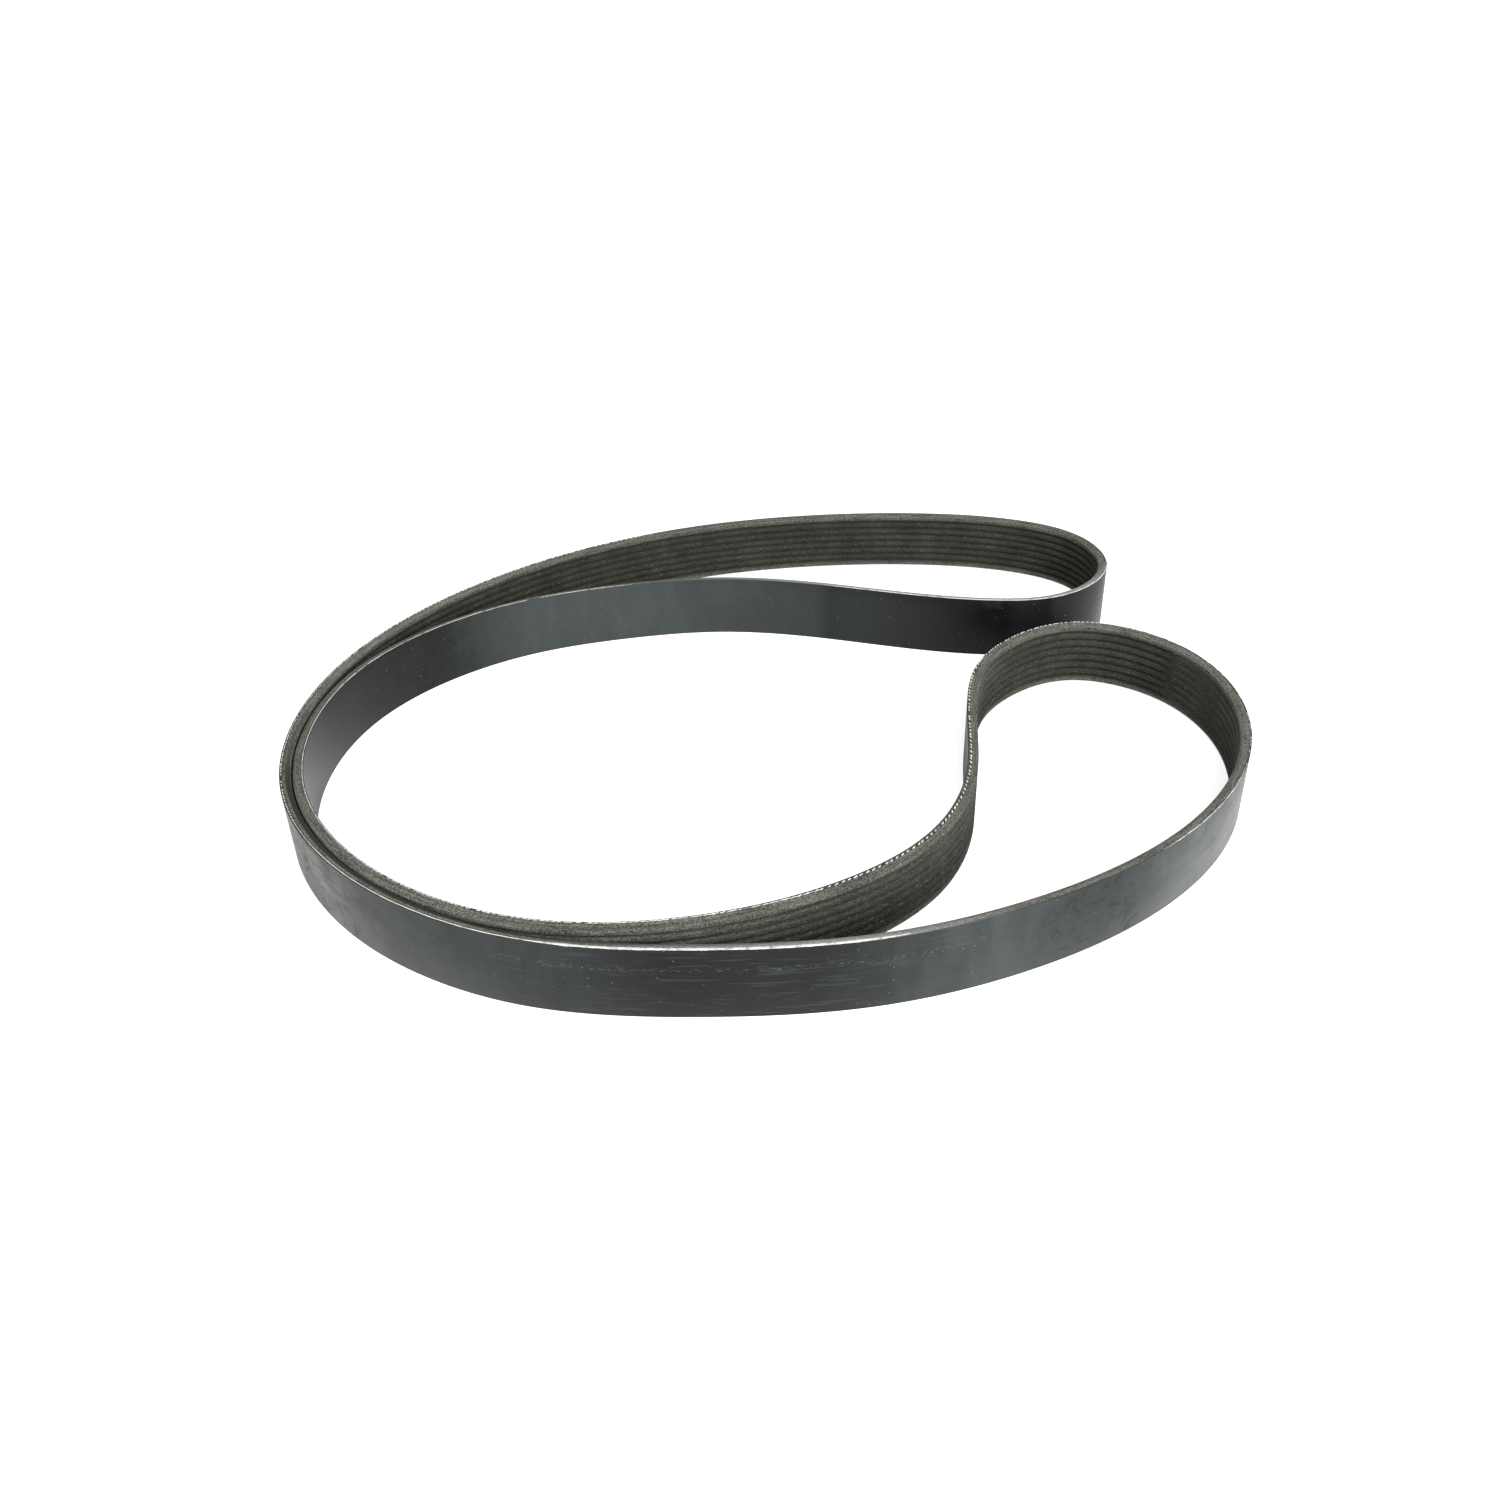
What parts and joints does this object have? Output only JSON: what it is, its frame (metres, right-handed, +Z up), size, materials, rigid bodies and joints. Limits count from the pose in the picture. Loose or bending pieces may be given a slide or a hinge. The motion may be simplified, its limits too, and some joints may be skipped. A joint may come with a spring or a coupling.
{
  "type": "ribbed drive belt",
  "caption": "Endless rubber drive belt with V ribs round its inside and a smooth back, resting on its cut edge in a loose crescent.",
  "frame": {"origin": "on the surface the belt rests on, below the middle of its box", "axes": "+Z up across the belt's width, +X from the nested side of the crescent towards its two lobes, +Y from the front strand to the back one"},
  "size_m": [0.3836, 0.3458, 0.0285],
  "materials": {
    "belt_rubber": "matt"
  },
  "bodies": {
    "root": {"drive_belt": "belt_rubber"}
  },
  "joints": []
}
